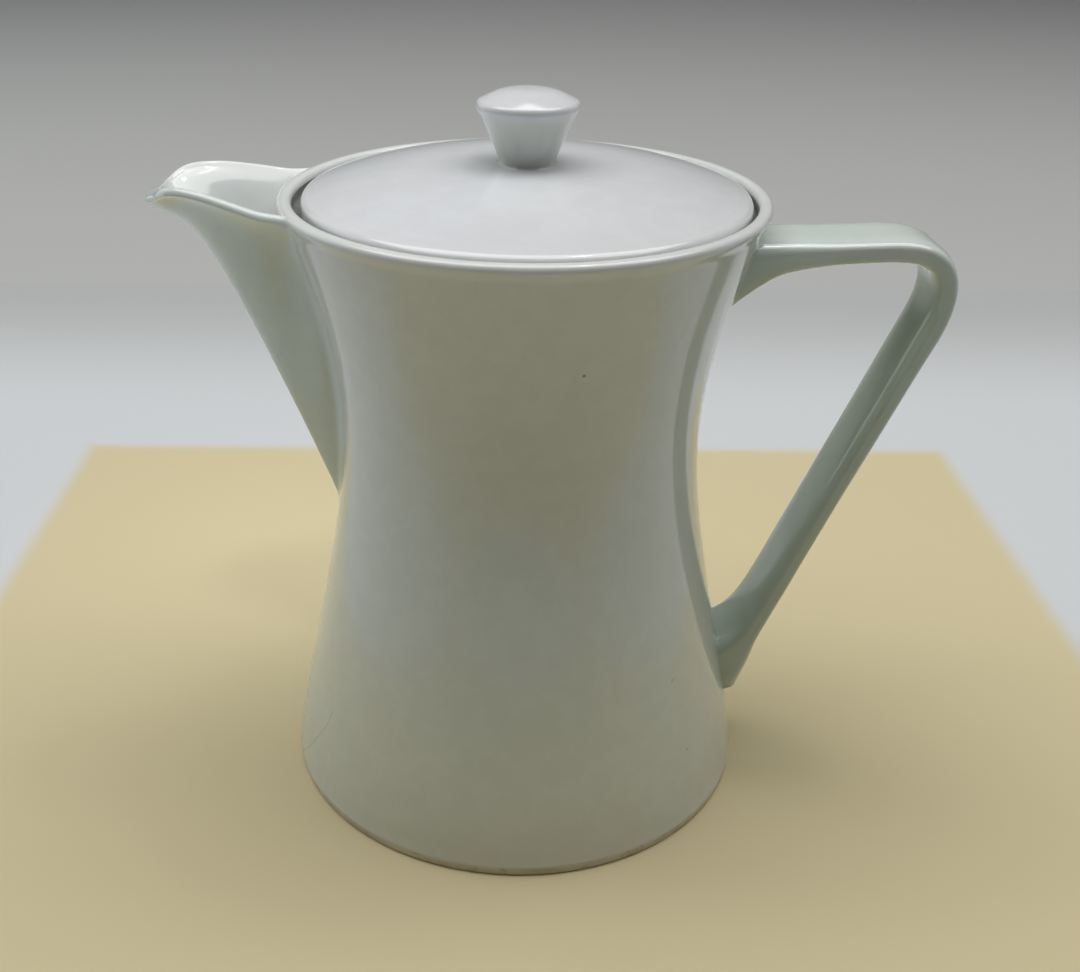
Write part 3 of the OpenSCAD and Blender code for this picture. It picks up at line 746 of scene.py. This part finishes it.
def spout_visual():
    root = bisect(lambda x: off_body(s_point(x)), np.full(SL, 42.0), np.full(SL, 74.0))
    joint = s_point(root)
    y, z = np.abs(joint[:, 1]), joint[:, 2]
    step = lambda v, a, c: np.clip((v - a)/(c - a), 0, 1)**2*(3 - 2*np.clip((v - a)/(c - a), 0, 1))
    f = np.where(S_PART == 0, (2.6 + 2.4*step(y, 1.0, 9.0))*(1 - 0.70*step(z, 140, 163.5)), 1.2)
    f = np.where(S_PART == 2, np.minimum(1.7, 0.7*y + 0.25), f)
    f = blur(f, 6)
    f = np.where(S_PART == 2, np.minimum(f, 0.7*y + 0.25), f)
    xa = along(s_point, root, np.full(SL, 95.6), f)
    first = s_point(xa)
    rows = joint_rows(joint, first, f)
    b = Builder()
    # the rolled lips are pale from thin glaze plus painted highlight, and the whole inner wall is painted pale as
    # painted light
    thin_and_lit = np.where((S_PART == 1) | (S_PART == 3), np.where(np.cos(S_A) < 0, 1.2, 0.9*np.sin(S_A)), np.where(S_T > 0.9, 0.35*(S_T - 0.9)/0.1, 0.0))
    thin_and_lit = np.where(S_PART == 2, 1.2, thin_and_lit)
    loops = []
    for i, p in enumerate(rows):
        v = max(0.0, (i - 2) / 10)
        # darker band round the root: pooled glaze plus painted shade in the crease with the body
        pool_and_shade = 0.55*math.sin(math.pi*min(1.0, v*1.1))**2 if i > 2 else 0.0
        loops.append(b.add(p, pool_and_shade*np.where((S_PART == 1) | (S_PART == 3), 0.3, 1.0), thin_and_lit*min(1, v)))
    v = np.linspace(0, 1, 64)
    for s in 1 - (1 - v)**1.7:
        x = xa + (95.6 - xa)*s
        p = s_point(x)
        tip = max(0.0, (s - 0.93)/0.07)
        loops.append(b.add(p, 0.0, np.maximum(thin_and_lit, 0.5*tip)))
    for p, q in zip(loops[:-1], loops[1:]):
        b.loops(p, q)
    # hidden face in the wall: strips between each outside line and the inside line behind it, then the rolled edges
    r0 = loops[0]
    for i in range(SM - 1):
        c = 2*SM + SR - 2 - i
        b.quad(r0[i], r0[i+1], r0[c], r0[c+1])
    for i in range(SR):
        b.tri(r0[SM-1], r0[SM+i], r0[SM+i+1])
    k = 2*SM + SR
    for i in range(SR):
        b.tri(r0[k-1], r0[k+i], r0[(k+i+1) % SL])
    # small rounded nose at the tip
    last = s_point(np.full(SL, 95.6))
    mid = last.mean(0)
    prev = loops[-1]
    for sc in (0.75, 0.45, 0.2):
        p = mid + (last - mid)*sc
        cur = b.add(p, 0.0, 0.5)
        b.loops(prev, cur)
        prev = cur
    c = b.add([mid], 0.0, 0.5)
    b.fan(prev, c[0])
    return b.build("spout_visual", [MINT], "pot", ["spout"])


# ======================================================================
# Handle
# ======================================================================

G = 3.3
STRAP = np.array([
    [49, 146.3, 9.9, 1.8], [54, 148.2, 8.0, 1.2], [59, 149.9, 6.4, 0.6], [64, 151.2, 5.0, 0.1],
    [70, 152.1, G + 0.9, 0], [78, 152.8, G + 0.2, 0], [87, 153.3, G, 0], [95, 153.5, G, 0],
    [101.1, 152.6, G, 0], [105.5, 149.7, G, 0], [107.6, 145.1, G, 0], [107.7, 139.7, G, 0],
    [106.0, 133.0, G, 0], [101.3, 121.8, G - 0.15, 0], [94.4, 105.2, G - 0.3, 0], [86.2, 85.8, G - 0.4, 0],
    [78.9, 68.2, G - 0.4, 0], [73.7, 55.5, G - 0.3, 0], [69.5, 45.8, G - 0.1, 0],
    [66.0, 38.9, G + 0.8, 0.2], [62.3, 33.3, G + 3.5, 0.7], [56.6, 26.6, G + 7.2, 1.4]])


def cat(p, u):
    n = len(p)
    i = np.clip(np.floor(u).astype(int), 0, n - 2)
    t = (u - i)[:, None]
    a, b, c, d = p[np.maximum(0, i-1)], p[i], p[i+1], p[np.minimum(n-1, i+2)]
    return 0.5*(2*b + (c - a)*t + (2*a - 5*b + 4*c - d)*t*t + (3*b - a - 3*c + d)*t**3)


_u = np.linspace(0, len(STRAP) - 1.001, 6000)
_c = cat(STRAP, _u)
_l = np.concatenate([[0], np.cumsum(np.hypot(*np.diff(_c[:, :2], axis=0).T))])
H_L = np.arange(0, _l[-1], 0.1)
H_C = np.stack([soften(np.interp(H_L, _l, _c[:, k]), 16) for k in range(4)], 1)
L_A, L_B = float(np.interp(6, _u, _l)), float(np.interp(16, _u, _l))
HM = 112
_a = 2*math.pi*np.arange(HM) / HM
H_COS, H_SIN = np.cos(_a), np.sin(_a)
L_C, L_D = float(np.interp(8.3, _u, _l)), float(np.interp(11.5, _u, _l))


def strap_point(l):
    """Points of all lines at lengths l (..., HM) -> (..., HM, 3)."""
    l = np.broadcast_to(l, np.shape(l)[:-1] + (HM,)).astype(float)
    g = lambda k, v: np.interp(v, H_L, H_C[:, k])
    tx, tz = g(0, l + 0.4) - g(0, l - 0.4), g(1, l + 0.4) - g(1, l - 0.4)
    n = np.hypot(tx, tz)
    nx, nz = -tz/n, tx/n
    w = 10.7 + g(3, l)
    # square-edged along the arm, a little rounder down the leg
    e = 2 / (3.7 - 0.5*np.clip((l - L_C)/(L_D - L_C), 0, 1))
    y = w*np.sign(H_COS)*np.abs(H_COS)**e
    d = g(2, l)*np.sign(H_SIN)*np.abs(H_SIN)**e
    return np.stack([g(0, l) + nx*d, y, g(1, l) + nz*d], -1)


def handle_visual():
    end = float(H_L[-1]) - 0.5
    top = bisect(lambda l: off_body(strap_point(l)), np.full(HM, 0.5), np.full(HM, L_A))
    low = bisect(lambda l: off_body(strap_point(l)), np.full(HM, end), np.full(HM, L_B))
    f_top = np.full(HM, 1.0)
    f_low = np.full(HM, 0.8)
    ta = along(strap_point, top, np.full(HM, L_A), f_top)
    la = along(strap_point, low, np.full(HM, L_B), f_low)
    b = Builder()
    # pale line along the strap's corners: thin glaze plus painted highlight
    edge = 0.22*np.exp(-((np.abs(H_COS) - 0.86)/0.10)**2)
    # painted highlight on the arm's top, and painted shade on its sides and below and over the leg, darkest on the
    # leg's inner side
    arm_pale_and_lit = edge + 0.28*np.clip(H_SIN*1.5, 0, 1)
    arm_shade = 0.40*np.clip(0.6 - 0.9*H_SIN, 0, 1)
    leg_shade = 0.80*np.clip(0.75 - 0.5*H_SIN, 0, 1)

    def end_loops(joint, par, f, a_par, shade0, pale_lit0):
        loops = []
        for i, p in enumerate(joint_rows(joint, strap_point(a_par), f)):
            v = max(0.0, (i - 2) / 10)
            # darker ring round each root: pooled glaze plus painted shade in the crease
            pool_and_shade = np.clip(shade0 + 1.2*math.sin(math.pi*min(1.0, v*1.1)), 0, 1) if i > 2 else 0.0
            loops.append(b.add(p, pool_and_shade, pale_lit0*min(1, v)))
        return loops

    head = end_loops(strap_point(top), top, f_top, ta, arm_shade, arm_pale_and_lit)
    foot = end_loops(strap_point(low), low, f_low, la, leg_shade, edge*0.3)
    loops = list(head)
    for i in range(30):
        # painted shade deepening on the arm towards its top root
        near = max(0.0, 1 - i/18)
        loops.append(b.add(strap_point(ta + (L_A - ta)*i/30), np.clip(arm_shade*(1 + 1.6*near), 0, 1), arm_pale_and_lit))
    for i in range(130):
        run = min(1.0, max(0.0, (i/130 - 0.12)/0.10))
        loops.append(b.add(strap_point(np.full(HM, L_A + (L_B - L_A)*i/130)),
                           arm_shade*(1 - run) + leg_shade*run, arm_pale_and_lit*(1 - run) + 0.4*edge*run))
    for i in range(31):
        loops.append(b.add(strap_point(L_B + (la - L_B)*i/30), leg_shade, 0.4*edge))
    loops += foot[::-1]
    for p, q in zip(loops[:-1], loops[1:]):
        b.loops(p, q)
    for loop, src in ((loops[0], strap_point(top)), (loops[-1], strap_point(low))):
        z = float(src[:, 2].mean())
        c = b.add([[float(wall_r(z)) - 1.2, 0, z]])
        b.fan(loop, c[0])
    return b.build("handle_visual", [MINT], "pot", ["handle"])


# ======================================================================
# Lid
# ======================================================================

LID_TOP, LID_R, PLAY = 173.1, 56.8, 0.5


def dome_z(r):
    r = np.asarray(r, float)
    return np.where(r <= 8, LID_TOP, LID_TOP - 7.4*(np.maximum(r - 8, 0)/(LID_R - 8))**2.55)


def dome_visual():
    b = Builder()
    prof = []
    for r in np.linspace(0, 43.5, 24):
        prof.append((float(r), float(dome_z(r)) - 3.8, 0.0, 0.0, 0))
    inner = rounded([(43.9, float(dome_z(43.9)) - 3.8, 0), (46.8, float(dome_z(46.8)) - 4.3, 2.4),
                     (46.8, 161.8, 0.0), (56.8, 161.8, 0.9), (56.8, 165.76, 2.4),
                     (53.4, float(dome_z(53.4)), 0)], 9)
    # the lid's rounded rim and the dome's outer edge are paler: thin glaze plus painted highlight
    for p in inner:
        bare = p[1] < 161.95 and p[0] > 47
        prof.append((float(p[0]), float(p[1]), 0.0, 0.5 if p[0] > 55.0 and p[1] > 163.8 else 0.0, 1 if bare else 0))
    for r in np.linspace(53.0, 8.5, 44):
        prof.append((float(r), float(dome_z(r)), 0.0, 0.25*max(0, (r - 50)/3), 0))
    for r in (8, 7, 5, 2.5, 0):
        prof.append((float(r), LID_TOP, 0.0, 0.0, 0))
    revolve(b, prof, 256, PLAY)
    return b.build("lid_dome_visual", [WHITE, BISCUIT], "lid", ["lid_dome"])


def flange_visual():
    b = Builder()
    prof = []
    ri, t, zb = 46.8, 3.0, 148.8
    prof.append((ri, 161.79, 0.0, 0.0, 0))
    for z in np.linspace(159.5, zb + 2.2, 6):
        prof.append((ri, float(z), 0.0, 0.0, 0))
    for a in np.radians(np.linspace(180, 360, 17)):
        prof.append((ri + 1.5 + 1.5*math.cos(a), zb + 1.5 + 1.5*math.sin(a), 0.0, 0.7, 0))
    for z in np.linspace(zb + 2.2, 160.2, 6):
        prof.append((ri + t, float(z), 0.0, 0.0, 0))
    for a in np.radians(np.linspace(0, 80, 6)):
        prof.append((ri + t + 0.7*(1 - math.cos(a)), 160.9 + 0.88*math.sin(a), 0.5, 0.0, 0))
    revolve(b, prof, 192, PLAY)
    return b.build("lid_flange_visual", [WHITE], "lid", ["lid_flange"])


def knob_visual():
    b = Builder()
    zt = LID_TOP + 15
    cone = lambda t: 6.5 + (13.1 - 0.35 - 6.5)*t**0.97 + 0.7*(1 - t)**12
    # the ring at r 8.2 where the knob meets the lid, the knob's foot and its whole cone carry painted shade under
    # the head
    prof = [(0.0, LID_TOP - 0.4, 0.0, 0.0, 0), (6.0, LID_TOP - 0.4, 0.0, 0.0, 0), (8.1, LID_TOP - 0.4, 0, 0, 0),
            (8.2, LID_TOP - 0.02, 0.2, 0, 0)]
    t1 = 1.5 / 14.3
    foot = bezier((7.95, LID_TOP), (7.4, LID_TOP), (cone(t1) - 0.25, LID_TOP + 0.55), (cone(t1), LID_TOP + 1.5), 8)
    for k, p in enumerate(foot):
        prof.append((float(p[0]), float(p[1]), 0.8, 0.0, 0))
    for t in np.linspace(t1, 0.8, 19)[1:]:
        prof.append((float(cone(t)), float(LID_TOP + 14.3*t), 0.8, 0.0, 0))
    top = lambda r: zt - 0.15 + 3.55*(1 - (r/12.6)**3.1)
    edge = rounded([(float(cone(0.8)), LID_TOP + 14.3*0.8, 0), (13.6, zt, 1.5),
                    (9.5, float(top(9.5)), 0)], 12)
    # the head's rounded edge and the rim of its top are paler: thin glaze plus painted highlight
    for k, p in enumerate(edge[1:-1]):
        prof.append((float(p[0]), float(p[1]), 0.0, 0.5, 0))
    for r in list(np.linspace(9.5, 1.0, 20)) + [0.0]:
        prof.append((float(r), float(top(r)), 0.0, 0.3*max(0.0, (r - 8)/2), 0))
    revolve(b, prof, 160, PLAY)
    return b.build("lid_knob_visual", [WHITE], "lid", ["lid_knob"])


body_visual()
spout_visual()
handle_visual()
dome_visual()
flange_visual()
knob_visual()

# ======================================================================
# Stage, light, camera
# ======================================================================


def plain(name, col, rough):
    m = Nodes(name)
    tone = m.ramp(m.noise(2.0, 1.0, 0.5), 0.2, 0.8)
    m.put(m.bsdf.inputs["Base Color"], m.mix(tone, rgb(*col), rgb(*(c*0.985 for c in col))))
    m.bsdf.inputs["Roughness"].default_value = rough
    m.bsdf.inputs["Specular IOR Level"].default_value = 0.25
    return m.mat


def floor_paint(name):
    """Matt floor: warm and pale under the pot, white round it, grey where it meets the wall."""
    m = Nodes(name)
    side = m.ramp(m.math("ABSOLUTE", m.math("SUBTRACT", m.axis(0), 0.004)), 0.181, 0.191)
    back = m.ramp(m.axis(1), 0.192, 0.202)
    front = m.ramp(m.axis(1), -0.281, -0.269, 1.0, 0.0)
    col = m.mix(m.math("MAXIMUM", side, m.math("MAXIMUM", back, front)),
                rgb(0.65, 0.57, 0.355), rgb(0.64, 0.66, 0.68))
    col = m.mix(m.ramp(m.axis(1), 0.235, 0.40), col, rgb(0.465, 0.475, 0.475))
    m.put(m.bsdf.inputs["Base Color"], col)
    m.bsdf.inputs["Roughness"].default_value = 0.8
    m.bsdf.inputs["Specular IOR Level"].default_value = 0.25
    return m.mat


def sheet(name, path, x0, x1, mat):
    """A strip of stage along a path of (y, z), in metres."""
    me = bpy.data.meshes.new(name)
    v, f = [], []
    for y, z in path:
        v += [(x0, y, z), (x1, y, z)]
    for i in range(len(path) - 1):
        f.append((2*i, 2*i + 1, 2*i + 3, 2*i + 2))
    me.from_pydata(v, [], f)
    me.materials.append(mat)
    me.polygons.foreach_set("use_smooth", np.ones(len(f), bool))
    ob = bpy.data.objects.new(name, me)
    bpy.context.scene.collection.objects.link(ob)
    return ob


FLOOR = floor_paint("stage_floor")
WALLM = plain("stage_wall", (0.485, 0.49, 0.48), 0.8)
sheet("stage_table", [(-1.6, 0.0), (0.42, 0.0)], -1.6, 1.6, FLOOR)
curve = [(0.42, -0.0005), (1.9, -0.0005)]
for k in range(13):
    a = math.radians(90*k/12)
    curve.append((1.9 + 0.6*math.sin(a), 0.5995 - 0.6*math.cos(a)))
curve.append((2.5, 2.6))
sheet("stage_backdrop", curve, -3.5, 3.5, WALLM)


def area(name, pos, look, size, power, color, size_y=None):
    l = bpy.data.lights.new(name, "AREA")
    l.shape = "RECTANGLE"
    l.size = size
    l.size_y = size_y or size
    l.energy = power
    l.color = color
    ob = bpy.data.objects.new(name, l)
    bpy.context.scene.collection.objects.link(ob)
    d = Vector(look) - Vector(pos)
    ob.matrix_world = Matrix.Translation(Vector(pos)) @ d.to_track_quat("-Z", "Y").to_matrix().to_4x4()
    ob.visible_camera = False
    return ob


area("top_box", (0.0, 0.12, 1.5), (0.0, 0.12, 0.0), 2.6, 27.0, (1.0, 0.99, 0.975), 1.1)
area("side_left", (-1.3, 0.75, 0.6), (0.0, 0.75, 0.6), 1.4, 4.4, (0.86, 0.95, 1.0), 1.2)
area("side_right", (1.3, 0.75, 0.6), (0.0, 0.75, 0.6), 1.4, 1.4, (0.88, 0.96, 1.0), 1.2)
area("wall_wash", (0.0, 0.9, 2.2), (0.0, 2.5, 0.9), 2.4, 6.0, (0.97, 0.98, 1.0), 0.5)
area("lamp", (0.25, 0.1, 1.2), (0.05, 0.0, 0.15), 0.11, 0.45, (1.0, 0.97, 0.92))

spot = bpy.data.lights.new("snoot", "SPOT")
spot.energy = 10.0
spot.color = (0.97, 0.99, 1.0)
spot.spot_size = math.radians(7.6)
spot.spot_blend = 1.0
spot.shadow_soft_size = 0.08
ob = bpy.data.objects.new("snoot", spot)
bpy.context.scene.collection.objects.link(ob)
_from, _to = Vector((-0.01, -0.36, 0.85)), Vector((-0.069, 0.008, 0.166))
ob.matrix_world = Matrix.Translation(_from) @ (_to - _from).to_track_quat("-Z", "Y").to_matrix().to_4x4()
ob.visible_glossy = False

bpy.context.scene.view_settings.view_transform = "Standard"

world = bpy.data.worlds.new("room")
bpy.context.scene.world = world
world.use_nodes = True
bg = world.node_tree.nodes["Background"]
bg.inputs["Color"].default_value = (0.72, 0.75, 0.80, 1)
bg.inputs["Strength"].default_value = 0.02

cam = bpy.data.cameras.new("camera")
cam.sensor_fit = "HORIZONTAL"
cam.sensor_width = 36.0
cam.lens = 44.65
cam.shift_x = 0.0408
cam.shift_y = -0.0209
cam.clip_start = 0.01
cam.clip_end = 50
co = bpy.data.objects.new("camera", cam)
bpy.context.scene.collection.objects.link(co)
RT = Vector((0.99996, -0.00212, 0.00915)).normalized()
FW = Vector((0.00593, 0.89802, -0.43991)).normalized()
RT = (RT - FW*RT.dot(FW)).normalized()
UP = RT.cross(FW).normalized()
co.matrix_world = Matrix((
    (RT.x, UP.x, -FW.x, -0.008738),
    (RT.y, UP.y, -FW.y, -0.333682),
    (RT.z, UP.z, -FW.z, 0.252835),
    (0, 0, 0, 1)))
bpy.context.scene.camera = co
